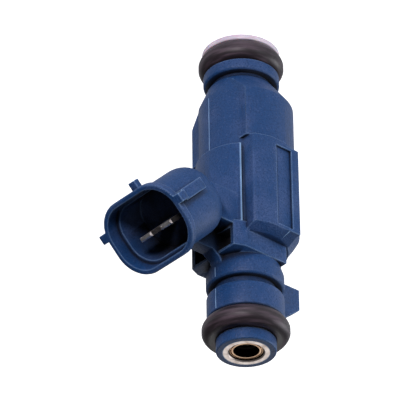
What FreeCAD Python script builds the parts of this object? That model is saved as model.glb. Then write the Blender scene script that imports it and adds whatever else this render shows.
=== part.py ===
import FreeCAD, Part
import math
import os
import Sketcher

# Electromagnetic fuel injector for a petrol engine, in millimetres.
# The Z axis is the injector's axis: +Z points to the fuel inlet and -Z to the spray nozzle.
# +X is the side of the electrical connector. The origin is the centre of the nozzle's O-ring.

doc = FreeCAD.newDocument("fuel_injector")

# ---------------------------------------------------------------- driving dimensions

DIMENSIONS = {
    # Fuel inlet
    "inlet_face": 56.07,
    "tube_outer": 3.85,
    "tube_bore": 2.8,
    "tube_countersink": 0.3,
    "collar_radius": 5.0,
    "collar_bottom": 53.9,
    "shoulder_radius": 6.45,
    "shoulder_top": 50.4,
    "clip_slot_top": 45.9,
    "clip_slot_bottom": 44.47,
    "clip_slot_radius": 5.2,
    "band_radius": 6.5,
    "band_bottom": 42.08,
    "waist_radius": 6.02,
    "waist_bottom": 39.9,
    # Seals
    "seal_section": 1.75,
    "seal_outer": 7.3,
    "seal_squeeze": 0.05,
    "rail_seal_height": 52.15,
    # Moulded barrel
    "body_radius": 7.4,
    "body_bottom": 9.0,
    "body_top": 37.2,
    "throat_radius": 5.84,
    "throat_height": 5.3,
    "neck_radius": 5.1,
    "flange_radius": 6.5,
    "flange_bottom": 2.15,
    "flange_top": 4.12,
    "upper_side_radius": 8.75,
    "upper_side_front": 5.35,
    "lower_side_radius": 9.25,
    "lower_side_front": 4.75,
    "side_back": 8.0,
    "side_step": 19.0,
    "slope_top_left": 11.4,
    "slope_top_right": 9.4,
    "corner_slope": 1.4,
    "side_top": 36.2,
    "side_chamfer": 34.2,
    "front_pad_radius": 8.0,
    "front_pad_edge": 5.43,
    "front_pad_bottom": 20.2,
    "window_plane": 9.15,
    "window_back": -4.4,
    "window_front": 1.3,
    "window_bottom": 19.65,
    "window_frame": 0.6,
    "window_depth": 0.45,
    "recess_back": -2.75,
    "recess_front": 0.5,
    "edge_round": 0.6,
    "small_round": 0.3,
    # Root box under the connector
    "box_bottom": 35.6,
    "box_top": 40.42,
    "box_half_width": 6.1,
    "box_front": 7.0,
    "box_front_half_width": 5.3,
    "box_corner": 5.1,
    "box_back": -3.9,
    "root_half_width": 5.2,
    "root_ridge_height": 26.5,
    "root_ridge_half_width": 0.5,
    "root_front": 13.0,
    "root_slope": 0.8,
    "root_top": 36.3,
    "web_half_width": 1.3,
    "web_level": 39.82,
    "web_heel_out": 8.1,
    "web_heel_in": 6.6,
    "web_heel_rise": 1.0,
    "web_top": 42.28,
    "pocket_half_width": 4.5,
    "pocket_floor": 5.0,
    "pocket_front": 8.0,
    "pocket_bottom": 36.8,
    "pocket_top": 39.92,
    # Connector
    "connector_tilt": 45.2,
    "connector_centre": 13.9,
    "mouth": 43.7,
    "lip_length": 1.2,
    "lip_half_width": 8.6,
    "lip_half_height": 6.6,
    "lip_corner": 5.4,
    "shroud_half_width": 8.05,
    "shroud_half_height": 6.05,
    "shroud_corner": 4.9,
    "shroud_end": 30.2,
    "socket_half_width": 7.1,
    "socket_half_height": 5.1,
    "socket_corner": 4.1,
    "socket_floor": 35.0,
    "seal_step_half_width": 7.75,
    "seal_step_half_height": 5.75,
    "seal_step_corner": 4.7,
    "seal_step_depth": 2.6,
    "latch_block_length": 1.8,
    "latch_rib_length": 5.8,
    "latch_height": 1.6,
    "latch_low_left": -3.3,
    "latch_low_right": -2.4,
    "latch_block_proud": 1.1,
    "latch_rib_proud": 0.55,
    "latch_rib_spread": 0.2,
    "lug_back": 39.5,
    "lug_front": 40.7,
    "lug_half_width": 0.75,
    "lug_proud": 1.9,
    "blade_pitch": 5.0,
    "blade_width": 2.8,
    "blade_thickness": 0.8,
    "blade_tip": 42.2,
    "blade_offset": 14.8,
    "blade_chamfer": 0.25,
    "foot_width": 1.6,
    "foot_bottom": 28.7,
    "foot_back": 4.9,
    "foot_place": 1.95,
    "neck_length": 2.2,
    "post_half_width": 3.4,
    "post_back": 4.6,
    "post_front": 6.0,
    "post_clearance": 0.05,
    "lead_radius": 0.15,
    "lead_place": 5.2,
    # Magnet and coil
    "shell_outer": 6.7,
    "shell_inner": 6.15,
    "shell_bottom": 9.2,
    "shell_floor": 10.1,
    "cover_bottom": 27.0,
    "cover_top": 27.9,
    "spool_inner": 4.55,
    "spool_hub": 5.0,
    "spool_flange": 0.8,
    "winding_radius": 5.85,
    "tape_radius": 6.0,
    "guide_bore": 3.85,
    "guide_outer": 4.5,
    "guide_bottom": 6.4,
    "spacer_bottom": 16.0,
    "spacer_top": 20.0,
    "pole_face": 18.6,
    "pole_bore": 1.9,
    "pole_shoulder_top": 28.6,
    "filter_seat": 44.0,
    # Valve
    "lift_gap": 0.1,
    "armature_radius": 3.8,
    "armature_bottom": 12.0,
    "armature_bore": 1.2,
    "armature_relief": 0.5,
    "chamber_taper": 1.0,
    "spring_pocket_radius": 1.95,
    "spring_pocket_floor": 15.5,
    "needle_bore": 0.7,
    "needle_hole": 0.42,
    "ball_radius": 1.6,
    "ball_centre": -0.9,
    "seat_radius": 2.9,
    "seat_top": -1.3,
    "seat_bottom": -3.6,
    "seat_hole": 0.75,
    "seat_clearance": 0.006,
    "guide_disc_top": -0.5,
    "guide_disc_play": 0.02,
    "guide_slot_depth": 0.35,
    "guide_slot_half_width": 0.4,
    "orifice_plate_bottom": -3.75,
    "orifice_radius": 0.09,
    "orifice_circle": 0.45,
    "body_tip": -4.4,
    "body_tip_outer": 3.79,
    "tip_mouth": 1.7,
    "valve_chamber": 2.2,
    "cap_radius": 6.68,
    "cap_face": -2.76,
    "cap_back": -1.8,
    "cap_hub": 4.9,
    "cap_tip": -3.7,
    "cap_round": 0.2,
    "key_outer": 11.2,
    "key_bottom": 40.4,
    "key_shoulder": 44.3,
    "key_top": 46.6,
    "key_root_top": 47.8,
    "key_neck": 8.3,
    "key_thickness": 2.0,
    # Spring, adjuster and filter
    "spring_wire": 0.225,
    "spring_radius": 1.55,
    "spring_coils": 9.0,
    "spring_end_gap": 0.02,
    "adjuster_bore": 1.1,
    "adjuster_bottom": 30.0,
    "adjuster_top": 37.0,
    "filter_ring_bore": 2.09,
    "filter_ring_top": 55.7,
    "filter_ring_bottom": 53.2,
    "filter_cage_bottom": 45.2,
    "filter_cage_rib": 0.5,
    "filter_cage_wall": 0.35,
    "filter_window_half_width": 1.06,
    "filter_mesh_wall": 0.12,
}


def make_sheet():
    """Put the driving dimensions in a spreadsheet, one alias to a row."""
    table = doc.addObject("Spreadsheet::Sheet", "Sizes")
    for row, (alias, value) in enumerate(DIMENSIONS.items(), start=1):
        table.set("A%d" % row, alias.replace("_", " "))
        table.set("B%d" % row, str(value))
        table.setAlias("B%d" % row, alias)
    doc.recompute()
    return table


sheet = make_sheet()


class Size:
    """A length: its value, and the spreadsheet formula that gives it."""

    def __init__(self, value, formula):
        self.value = value
        self.formula = formula

    @staticmethod
    def of(number):
        """Take a plain number or a Size, and give a Size."""
        if isinstance(number, Size):
            return number
        return Size(float(number), "(%.6g)" % number)

    def combined(self, sign, other):
        """The formula of this length and another."""
        return "(%s %s %s)" % (self.formula, sign, other.formula)

    def __add__(self, other):
        other = Size.of(other)
        return Size(self.value + other.value, self.combined("+", other))

    def __sub__(self, other):
        other = Size.of(other)
        return Size(self.value - other.value, self.combined("-", other))

    def __mul__(self, other):
        other = Size.of(other)
        return Size(self.value * other.value, self.combined("*", other))

    def __truediv__(self, other):
        other = Size.of(other)
        return Size(self.value / other.value, self.combined("/", other))

    def __rsub__(self, other):
        return Size.of(other) - self

    def __neg__(self):
        return self * -1

    __radd__ = __add__
    __rmul__ = __mul__


class Sizes:
    """Every driving dimension by its name."""

    def __init__(self):
        for alias in DIMENSIONS:
            setattr(self, alias, Size(float(sheet.get(alias)), "Sizes." + alias))


S = Sizes()


# ---------------------------------------------------------------- shape helpers

def drive(thing, prop, size):
    """Bind a property to a formula of the sheet."""
    thing.setExpression(prop, Size.of(size).formula)


def block(name, low, high):
    """A box between two corners."""
    thing = doc.addObject("Part::Box", name)
    for prop, near, far in zip(("Length", "Width", "Height"), low, high):
        drive(thing, prop, Size.of(far) - near)
    for axis, near in zip("xyz", low):
        drive(thing, ".Placement.Base." + axis, near)
    return thing


def rod(name, radius, bottom, top):
    """A cylinder on the Z axis."""
    thing = doc.addObject("Part::Cylinder", name)
    drive(thing, "Radius", radius)
    drive(thing, "Height", Size.of(top) - bottom)
    drive(thing, ".Placement.Base.z", bottom)
    return thing


def joined(name, pieces):
    """One solid from several that touch."""
    thing = doc.addObject("Part::MultiFuse", name)
    thing.Shapes = pieces
    thing.Refine = True
    return thing


def shared(name, pieces):
    """What several solids have in common."""
    thing = doc.addObject("Part::MultiCommon", name)
    thing.Shapes = pieces
    return thing


def without(name, base, tool):
    """A solid with another taken out of it."""
    thing = doc.addObject("Part::Cut", name)
    thing.Base = base
    thing.Tool = tool
    thing.Refine = True
    return thing


def rounded(name, base, radius, wanted):
    """A solid with the edges that pass the test rounded; the radius is read from the sheet."""
    doc.recompute()
    thing = doc.addObject("Part::Fillet", name)
    thing.Base = base
    edges = [number for number, edge in enumerate(base.Shape.Edges, start=1) if wanted(edge)]
    thing.Edges = [(number, Size.of(radius).value, Size.of(radius).value) for number in edges]
    return thing


def bevelled(name, base, width, wanted):
    """A solid with the edges that pass the test cut off at 45 degrees."""
    doc.recompute()
    thing = doc.addObject("Part::Chamfer", name)
    thing.Base = base
    edges = [number for number, edge in enumerate(base.Shape.Edges, start=1) if wanted(edge)]
    thing.Edges = [(number, width.value, width.value) for number in edges]
    return thing


def along(axis):
    """A test for straight edges that run along X, Y or Z."""
    def wanted(edge):
        if not isinstance(edge.Curve, Part.Line):
            return False
        return abs(edge.Curve.Direction["XYZ".index(axis)]) > 0.999
    return wanted


def level_circle(radius, height):
    """A test for the round edge about the Z axis with this radius and height."""
    def wanted(edge):
        if not isinstance(edge.Curve, Part.Circle):
            return False
        level = abs(edge.CenterOfMass.z - height.value) < NEAR
        return level and abs(edge.Curve.Radius - radius.value) < NEAR
    return wanted


def at_reach(reach):
    """A test for edges in the plane that crosses the connector at this reach."""
    out = FreeCAD.Vector(TILT_COSINE.value, 0, TILT_SINE.value)

    def wanted(edge):
        points = [vertex.Point for vertex in edge.Vertexes] + [edge.CenterOfMass]
        return all(abs(point.dot(out) - reach.value) < NEAR for point in points)
    return wanted


def outside(axis, radius, plane=None):
    """A test for edges along an axis that stand further out than a radius, in a plane X if one is given."""
    straight = along(axis)

    def wanted(edge):
        centre = edge.CenterOfMass
        if not straight(edge) or math.hypot(centre.x, centre.y) < radius.value + NEAR:
            return False
        return plane is None or abs(centre.x - plane.value) < NEAR
    return wanted


def either(*tests):
    """A test that any of several tests passes."""
    return lambda edge: any(test(edge) for test in tests)


def at_back(back):
    """A test for edges that lie in the plane X = back."""
    return lambda edge: edge.BoundBox.XMax < back.value + NEAR


def origin_plane(body, role):
    """One of the body's own origin planes."""
    return next(plane for plane in body.Origin.OriginFeatures if plane.Role == role)


def pin_corner(sketch, line, corner):
    """Hold the start of a line at a corner whose coordinates are sizes."""
    for kind, axis_line, size in zip(("DistanceX", "DistanceY"), (-2, -1), corner):
        if abs(size.value) < 1e-9:
            sketch.addConstraint(Sketcher.Constraint("PointOnObject", line, 1, axis_line))
        else:
            pin = sketch.addConstraint(Sketcher.Constraint(kind, -1, 1, line, 1, size.value))
            sketch.setExpression("Constraints[%d]" % pin, size.formula)


def outline(body, name, role, corners, height=0):
    """A closed outline of straight lines on an origin plane, every corner held to the sheet."""
    sketch = body.newObject("Sketcher::SketchObject", name)
    sketch.AttachmentSupport = [(origin_plane(body, role), "")]
    sketch.MapMode = "FlatFace"
    drive(sketch, ".AttachmentOffset.Base.z", height)
    corners = [(Size.of(across), Size.of(up)) for across, up in corners]
    points = [FreeCAD.Vector(across.value, up.value, 0) for across, up in corners]
    for start, end in zip(points, points[1:] + points[:1]):
        sketch.addGeometry(Part.LineSegment(start, end), False)
    count = len(points)
    for line in range(count):
        sketch.addConstraint(Sketcher.Constraint("Coincident", line, 2, (line + 1) % count, 1))
    for line, corner in enumerate(corners):
        pin_corner(sketch, line, corner)
    return sketch


def turned(name, corners):
    """A body turned about the Z axis from an outline of (radius, height) corners."""
    body = doc.addObject("PartDesign::Body", name)
    sketch = outline(body, name + "_outline", "XZ_Plane", corners)
    turn = body.newObject("PartDesign::Revolution", name + "_turn")
    turn.Profile = sketch
    turn.ReferenceAxis = (sketch, ["V_Axis"])
    turn.Angle = 360
    return body


def padded(name, corners, bottom, top):
    """A plate with an outline of (x, y) corners between two heights."""
    body = doc.addObject("PartDesign::Body", name)
    sketch = outline(body, name + "_outline", "XY_Plane", corners, bottom)
    pad = body.newObject("PartDesign::Pad", name + "_pad")
    pad.Profile = sketch
    drive(pad, "Length", Size.of(top) - bottom)
    return body


def web(name, corners, width):
    """A plate with an outline of (x, z) corners, as thick as width and centred on Y = 0."""
    body = doc.addObject("PartDesign::Body", name)
    sketch = outline(body, name + "_outline", "XZ_Plane", corners)
    pad = body.newObject("PartDesign::Pad", name + "_pad")
    pad.Profile = sketch
    pad.Midplane = True
    drive(pad, "Length", width)
    return body


def rounded_block(name, low, high, radius):
    """A box whose four edges along X are rounded."""
    return rounded(name, block(name + "_box", low, high), radius, along("X"))


def tilted(thing):
    """Turn a piece from the connector's frame, where X runs out of the socket, into the injector's."""
    thing.Placement = FreeCAD.Placement(FreeCAD.Vector(), FreeCAD.Rotation(FreeCAD.Vector(0, -1, 0), 45))
    drive(thing, ".Placement.Rotation.Angle", S.connector_tilt)
    return thing


def tilted_block(name, low, high):
    """A box given by two corners in the connector's frame."""
    thing = doc.addObject("Part::Box", name)
    for prop, near, far in zip(("Length", "Width", "Height"), low, high):
        drive(thing, prop, Size.of(far) - near)
    out, side, up = low
    tilted(thing)
    drive(thing, ".Placement.Base.x", out * TILT_COSINE - up * TILT_SINE)
    drive(thing, ".Placement.Base.y", side)
    drive(thing, ".Placement.Base.z", out * TILT_SINE + up * TILT_COSINE)
    return thing


TILT = math.radians(DIMENSIONS["connector_tilt"])
TILT_SINE = Size(math.sin(TILT), "sin(Sizes.connector_tilt * 1 deg)")
TILT_COSINE = Size(math.cos(TILT), "cos(Sizes.connector_tilt * 1 deg)")


FAR = 70.0
NEAR = 0.001
OVERRUN = 1.0
parts = {}


def keep(name, thing):
    """List a sub-part under its node's name."""
    thing.Label = name
    parts[name] = thing
    return thing


# ---------------------------------------------------------------- metal that carries the fuel

def inlet_tube():
    """Steel inlet tube. Its lower end is the pole that pulls the armature."""
    mouth = S.tube_bore + S.tube_countersink
    return turned("inlet_tube", [
        (S.pole_bore, S.pole_face),
        (S.tube_outer, S.pole_face),
        (S.tube_outer, S.spacer_top),
        (S.guide_outer, S.spacer_top),
        (S.guide_outer, S.pole_shoulder_top),
        (S.tube_outer, S.pole_shoulder_top),
        (S.tube_outer, S.inlet_face),
        (mouth, S.inlet_face),
        (S.tube_bore, S.inlet_face - S.tube_countersink),
        (S.tube_bore, S.filter_seat),
        (S.pole_bore, S.filter_seat)])


def ring(name, inner, outer, bottom, top):
    """A plain ring or tube with square edges."""
    return turned(name, [(inner, bottom), (outer, bottom), (outer, top), (inner, top)])


def valve_body():
    """Steel tube that holds the seat at its tip and guides the armature at its top."""
    return turned("valve_body", [
        (S.tip_mouth, S.body_tip),
        (S.body_tip_outer, S.body_tip),
        (S.body_tip_outer, S.guide_bottom),
        (S.guide_outer, S.guide_bottom),
        (S.guide_outer, S.spacer_bottom),
        (S.guide_bore, S.spacer_bottom),
        (S.guide_bore, S.armature_bottom - S.armature_relief),
        (S.valve_chamber, S.armature_bottom - S.armature_relief - S.chamber_taper),
        (S.valve_chamber, S.guide_disc_top),
        (S.seat_radius, S.guide_disc_top),
        (S.seat_radius, S.orifice_plate_bottom),
        (S.tip_mouth, S.orifice_plate_bottom)])


keep("inlet_tube", inlet_tube())
keep("spacer_ring", ring("spacer_ring", S.guide_bore, S.guide_outer, S.spacer_bottom, S.spacer_top))
keep("valve_body", valve_body())
keep("adjusting_sleeve", ring(
    "adjusting_sleeve", S.adjuster_bore, S.pole_bore, S.adjuster_bottom, S.adjuster_top))


# ---------------------------------------------------------------- filter

def filter_cage():
    """Moulded basket with windows between its ribs."""
    outer = S.filter_ring_bore
    inner = outer - S.filter_cage_wall
    floor = S.filter_cage_bottom + S.filter_cage_rib
    top = S.filter_ring_bottom + S.filter_cage_rib * 2
    shell = turned("filter_cage_shell", [
        (0, S.filter_cage_bottom), (outer, S.filter_cage_bottom), (outer, top),
        (inner, top), (inner, floor), (0, floor)])
    wide = S.filter_window_half_width
    low = floor + S.filter_cage_rib
    high = S.filter_ring_bottom - S.filter_cage_rib
    windows = joined("filter_windows", [
        block("filter_window_x", (-outer * 2, -wide, low), (outer * 2, wide, high)),
        block("filter_window_y", (-wide, -outer * 2, low), (wide, outer * 2, high))])
    return without("filter_cage", shell, windows)


keep("filter_ring", ring(
    "filter_ring", S.filter_ring_bore, S.tube_bore, S.filter_ring_bottom, S.filter_ring_top))
keep("filter_cage", filter_cage())
keep("filter_mesh", ring(
    "filter_mesh", S.filter_ring_bore - S.filter_cage_wall - S.filter_mesh_wall,
    S.filter_ring_bore - S.filter_cage_wall,
    S.filter_cage_bottom + S.filter_cage_rib, S.filter_ring_bottom + S.filter_cage_rib))


# ---------------------------------------------------------------- moving valve

def armature():
    """Soft-iron plunger with a pocket for the spring."""
    top = S.pole_face - S.lift_gap
    return turned("armature", [
        (S.armature_bore, S.armature_bottom),
        (S.armature_radius, S.armature_bottom),
        (S.armature_radius, top),
        (S.spring_pocket_radius, top),
        (S.spring_pocket_radius, S.spring_pocket_floor),
        (S.armature_bore, S.spring_pocket_floor)])


def ball(name):
    """The closing ball."""
    thing = doc.addObject("Part::Sphere", name)
    drive(thing, "Radius", S.ball_radius)
    drive(thing, ".Placement.Base.z", S.ball_centre)
    return thing


def cross_hole(name, turn, height):
    """A fuel hole drilled right through the needle."""
    thing = doc.addObject("Part::Cylinder", name)
    drive(thing, "Radius", S.needle_hole)
    drive(thing, "Height", S.armature_bore * 4)
    side = FreeCAD.Vector(0, 1, 0) if turn else FreeCAD.Vector(1, 0, 0)
    thing.Placement = FreeCAD.Placement(FreeCAD.Vector(), FreeCAD.Rotation(side, 90))
    drive(thing, ".Placement.Base.x", -S.armature_bore * 2 if turn else Size.of(0))
    drive(thing, ".Placement.Base.y", Size.of(0) if turn else S.armature_bore * 2)
    drive(thing, ".Placement.Base.z", height)
    return thing


def valve_needle():
    """Hollow needle with cross holes, its lower end ground to the ball."""
    tube = ring("needle_tube", S.needle_bore, S.armature_bore, S.ball_centre, S.spring_pocket_floor)
    outlet = S.ball_centre + S.ball_radius * 2
    cuts = joined("needle_cuts", [
        ball("needle_seat"),
        cross_hole("needle_hole_x", True, outlet),
        cross_hole("needle_hole_y", False, outlet)])
    return without("valve_needle", tube, cuts)


def valve_seat():
    """Seat with a 45 degree cone; the ball rests a few microns clear of it."""
    contact = (S.ball_radius + S.seat_clearance) * math.sqrt(2)
    cone_top = S.seat_top - S.ball_centre + contact
    throat = S.seat_hole - contact + S.ball_centre
    return turned("valve_seat", [
        (S.seat_hole, S.seat_bottom),
        (S.seat_radius, S.seat_bottom),
        (S.seat_radius, S.seat_top),
        (cone_top, S.seat_top),
        (S.seat_hole, throat)])


def guide_disc():
    """Disc that centres the ball, with four fuel slots around it."""
    bore = S.ball_radius + S.guide_disc_play
    disc = ring("guide_disc_blank", bore, S.seat_radius, S.seat_top, S.guide_disc_top)
    reach = S.ball_radius + S.guide_slot_depth
    narrow = S.guide_slot_half_width
    slots = joined("guide_slots", [
        block("guide_slot_x", (-reach, -narrow, S.seat_top), (reach, narrow, S.guide_disc_top)),
        block("guide_slot_y", (-narrow, -reach, S.seat_top), (narrow, reach, S.guide_disc_top))])
    return without("guide_disc", disc, slots)


def orifice_plate():
    """Thin plate with four spray holes."""
    body = doc.addObject("PartDesign::Body", "orifice_plate")
    sketch = body.newObject("Sketcher::SketchObject", "orifice_plate_outline")
    sketch.AttachmentSupport = [(origin_plane(body, "XY_Plane"), "")]
    sketch.MapMode = "FlatFace"
    drive(sketch, ".AttachmentOffset.Base.z", S.orifice_plate_bottom)
    centres = [(0, 0, S.seat_radius)]
    for turn in range(4):
        angle = math.radians(45 + 90 * turn)
        centres.append((math.cos(angle), math.sin(angle), S.orifice_radius))
    for across, up, radius in centres:
        place = FreeCAD.Vector(across, up, 0) * S.orifice_circle.value
        circle = sketch.addGeometry(Part.Circle(place, FreeCAD.Vector(0, 0, 1), radius.value), False)
        pin = sketch.addConstraint(Sketcher.Constraint("Radius", circle, radius.value))
        sketch.setExpression("Constraints[%d]" % pin, radius.formula)
    pad = body.newObject("PartDesign::Pad", "orifice_plate_pad")
    pad.Profile = sketch
    drive(pad, "Length", S.seat_bottom - S.orifice_plate_bottom)
    return body


def return_spring():
    """Round-wire compression spring between the armature and the adjusting sleeve."""
    helix = doc.addObject("Part::Helix", "spring_line")
    travel = S.adjuster_bottom - S.spring_pocket_floor - (S.spring_wire + S.spring_end_gap) * 2
    drive(helix, "Radius", S.spring_radius)
    drive(helix, "Height", travel)
    drive(helix, "Pitch", travel / S.spring_coils)
    wire = doc.addObject("Part::Circle", "spring_wire_section")
    drive(wire, "Radius", S.spring_wire)
    wire.Placement = FreeCAD.Placement(FreeCAD.Vector(), FreeCAD.Rotation(FreeCAD.Vector(1, 0, 0), 90))
    drive(wire, ".Placement.Base.x", S.spring_radius)
    sweep = doc.addObject("Part::Sweep", "return_spring")
    doc.recompute()
    sweep.Sections = [wire]
    sweep.Spine = (helix, ["Edge%d" % number for number in range(1, len(helix.Shape.Edges) + 1)])
    sweep.Solid = True
    sweep.Frenet = True
    drive(sweep, ".Placement.Base.z", S.spring_pocket_floor + S.spring_wire + S.spring_end_gap)
    return sweep


keep("armature", armature())
keep("valve_ball", ball("valve_ball"))
keep("valve_needle", valve_needle())
keep("valve_seat", valve_seat())
keep("guide_disc", guide_disc())
keep("orifice_plate", orifice_plate())
keep("return_spring", return_spring())


# ---------------------------------------------------------------- coil and magnetic circuit

def post(name):
    """The spool's terminal post, which stands up through the cover, inside the magnet's shell."""
    bottom = S.cover_bottom - S.spool_flange
    square = block(name + "_square", (S.post_back, -S.post_half_width, bottom),
                   (S.post_front, S.post_half_width, S.foot_bottom))
    limit = rod(name + "_limit", S.shell_inner - S.post_clearance, bottom, S.foot_bottom)
    return shared(name, [square, limit])


def lead(name, side):
    """Winding end that climbs through the post to its terminal."""
    thing = rod(name, S.lead_radius, S.cover_bottom - S.spool_flange, S.foot_bottom)
    drive(thing, ".Placement.Base.x", S.lead_place)
    drive(thing, ".Placement.Base.y", S.blade_pitch * (side / 2))
    return thing


def coil_spool():
    """Moulded spool with two flanges and the terminal post."""
    bottom = S.shell_floor
    top = S.cover_bottom
    spool = turned("spool_turned", [
        (S.spool_inner, bottom),
        (S.shell_inner, bottom),
        (S.shell_inner, bottom + S.spool_flange),
        (S.spool_hub, bottom + S.spool_flange),
        (S.spool_hub, top - S.spool_flange),
        (S.shell_inner, top - S.spool_flange),
        (S.shell_inner, top),
        (S.spool_inner, top)])
    solid = joined("spool_with_post", [spool, post("spool_post")])
    holes = joined("spool_holes", [lead("spool_hole_left", 1), lead("spool_hole_right", -1)])
    return without("coil_spool", solid, holes)


def magnet_shell():
    """Steel cup around the coil."""
    return turned("magnet_shell", [
        (S.guide_outer, S.shell_bottom),
        (S.shell_outer, S.shell_bottom),
        (S.shell_outer, S.cover_top),
        (S.shell_inner, S.cover_top),
        (S.shell_inner, S.shell_floor),
        (S.guide_outer, S.shell_floor)])


def magnet_cover():
    """Steel washer that closes the cup, slotted for the terminal post."""
    washer = ring("cover_washer", S.guide_outer, S.shell_inner, S.cover_bottom, S.cover_top)
    slot = block("cover_slot", (S.post_back, -S.post_half_width, S.cover_bottom),
                 (S.shell_outer, S.post_half_width, S.cover_top))
    return without("magnet_cover", washer, slot)


def terminal(name, side):
    """One blade: wide in the socket, on a narrower neck, with a foot on the spool's post."""
    centre = S.blade_pitch * (side / 2)
    inner = S.foot_place * side - S.foot_width / 2
    half = S.blade_thickness / 2
    middle = S.foot_bottom + half
    root = middle / TILT_SINE - S.blade_offset * TILT_COSINE / TILT_SINE
    square = tilted_block(
        name + "_square",
        (root + S.neck_length, centre - S.blade_width / 2, S.blade_offset - half),
        (S.blade_tip, centre + S.blade_width / 2, S.blade_offset + half))
    blade = bevelled(name + "_blade", square, S.blade_chamfer, at_reach(S.blade_tip))
    neck = tilted_block(
        name + "_neck",
        (root, inner, S.blade_offset - half),
        (root + S.neck_length, inner + S.foot_width, S.blade_offset + half))
    knee = root * TILT_COSINE - S.blade_offset * TILT_SINE
    foot = block(
        name + "_foot",
        (S.foot_back, inner, S.foot_bottom),
        (knee + half, inner + S.foot_width, S.foot_bottom + S.blade_thickness))
    return joined(name, [blade, neck, foot])


keep("coil_spool", coil_spool())
keep("coil_winding", ring(
    "coil_winding", S.spool_hub, S.winding_radius,
    S.shell_floor + S.spool_flange, S.cover_bottom - S.spool_flange))
keep("coil_tape", ring(
    "coil_tape", S.winding_radius, S.tape_radius,
    S.shell_floor + S.spool_flange, S.cover_bottom - S.spool_flange))
keep("magnet_shell", magnet_shell())
keep("magnet_cover", magnet_cover())
keep("lead_left", lead("lead_left", 1))
keep("lead_right", lead("lead_right", -1))
terminal_left = keep("terminal_left", terminal("terminal_left", 1))
terminal_right = keep("terminal_right", terminal("terminal_right", -1))


# ---------------------------------------------------------------- moulded housing

def barrel():
    """Everything on the housing that is round about the injector's axis, its rims bevelled."""
    ease = S.small_round
    return turned("housing_barrel", [
        (0, S.flange_bottom),
        (S.flange_radius, S.flange_bottom),
        (S.flange_radius, S.flange_top - ease),
        (S.flange_radius - ease, S.flange_top),
        (S.neck_radius, S.flange_top),
        (S.neck_radius, S.throat_height - (S.throat_radius - S.neck_radius)),
        (S.throat_radius, S.throat_height),
        (S.body_radius, S.body_bottom),
        (S.body_radius, S.body_top),
        (S.waist_radius, S.body_top),
        (S.waist_radius, S.waist_bottom + S.edge_round),
        (S.band_radius, S.band_bottom),
        (S.band_radius, S.clip_slot_bottom - ease),
        (S.band_radius - ease, S.clip_slot_bottom),
        (S.clip_slot_radius, S.clip_slot_bottom),
        (S.clip_slot_radius, S.clip_slot_top),
        (S.shoulder_radius - ease, S.clip_slot_top),
        (S.shoulder_radius, S.clip_slot_top + ease),
        (S.shoulder_radius, S.shoulder_top - ease),
        (S.shoulder_radius - ease, S.shoulder_top),
        (0, S.shoulder_top)])


def upper_side(name, side, slope_top):
    """Raised side of the barrel near the nozzle, with a sloping shoulder."""
    solid = turned(name + "_round", [
        (0, S.throat_height),
        (S.throat_radius, S.throat_height),
        (S.upper_side_radius, slope_top),
        (S.upper_side_radius, S.side_step),
        (0, S.side_step)])
    near, far = (0, FAR) if side > 0 else (-FAR, 0)
    window = block(name + "_window", (-S.side_back, near, 0), (S.upper_side_front, far, S.side_step))
    return rounded(name, shared(name + "_square", [solid, window]), S.edge_round, outside("Z", S.body_radius))


def lower_side(name, side):
    """Wider raised side of the barrel over the coil; its back corner slopes away towards the root box."""
    near, far = (0, S.window_plane) if side > 0 else (-S.window_plane, 0)
    lip = S.lower_side_radius - S.body_radius
    straight = turned(name + "_straight", [
        (0, S.side_step),
        (S.lower_side_radius, S.side_step),
        (S.lower_side_radius, S.side_top),
        (S.body_radius, S.body_top),
        (0, S.body_top)])
    sloped = turned(name + "_sloped", [
        (0, S.side_step),
        (S.lower_side_radius, S.side_step),
        (S.lower_side_radius, S.side_chamfer),
        (S.body_radius, S.side_chamfer + lip * S.corner_slope),
        (0, S.side_chamfer + lip * S.corner_slope)])
    front = block(name + "_front", (S.window_back, near, 0), (S.lower_side_front, far, FAR))
    back = block(name + "_back", (-S.side_back, near, 0), (S.window_back, far, FAR))
    wall = rounded(name + "_wall", shared(name + "_wall_square", [straight, front]), S.edge_round,
                   outside("Z", S.body_radius, S.lower_side_front))
    corner = shared(name + "_corner", [sloped, back])
    return [wall, corner]


def window_pad(name, side):
    """Flat raised frame on one side of the barrel."""
    near, far = (0, S.window_plane) if side > 0 else (-S.window_plane, 0)
    return block(name, (S.window_back, near, S.window_bottom), (S.window_front, far, S.side_top))


def window_recess(name, side):
    """The shallow recess inside that frame."""
    floor = S.window_plane - S.window_depth
    near, far = (floor, S.window_plane + OVERRUN) if side > 0 else (-S.window_plane - OVERRUN, -floor)
    return block(
        name,
        (S.recess_back, near, S.window_bottom + S.window_frame),
        (S.recess_front, far, S.side_top - S.window_frame))


def front_pad():
    """Raised pad on the connector's side of the barrel."""
    solid = rod("front_pad_round", S.front_pad_radius, S.front_pad_bottom, S.root_top)
    window = block("front_pad_window", (S.front_pad_edge, -FAR, 0), (FAR, FAR, FAR))
    return shared("front_pad", [solid, window])


def root_box():
    """Box between the barrel and the rail end, its front corners cut off."""
    wide = S.box_half_width
    front = S.box_front_half_width
    return padded("root_box", [
        (S.box_back, -wide), (S.box_corner, -wide), (S.box_front, -front),
        (S.box_front, front), (S.box_corner, wide), (S.box_back, wide)],
        S.box_bottom, S.box_top)


def roofed(name, half_width, peak, back, front, floor):
    """A block along X with a roof-shaped side towards the nozzle."""
    body = doc.addObject("PartDesign::Body", name)
    ridge = S.root_ridge_half_width
    eaves = peak + (half_width - ridge) * S.root_slope
    sketch = outline(body, name + "_outline", "YZ_Plane", [
        (-half_width, floor), (-half_width, eaves), (-ridge, peak),
        (ridge, peak), (half_width, eaves), (half_width, floor)], back)
    pad = body.newObject("PartDesign::Pad", name + "_pad")
    pad.Profile = sketch
    drive(pad, "Length", Size.of(front) - back)
    return body


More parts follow.
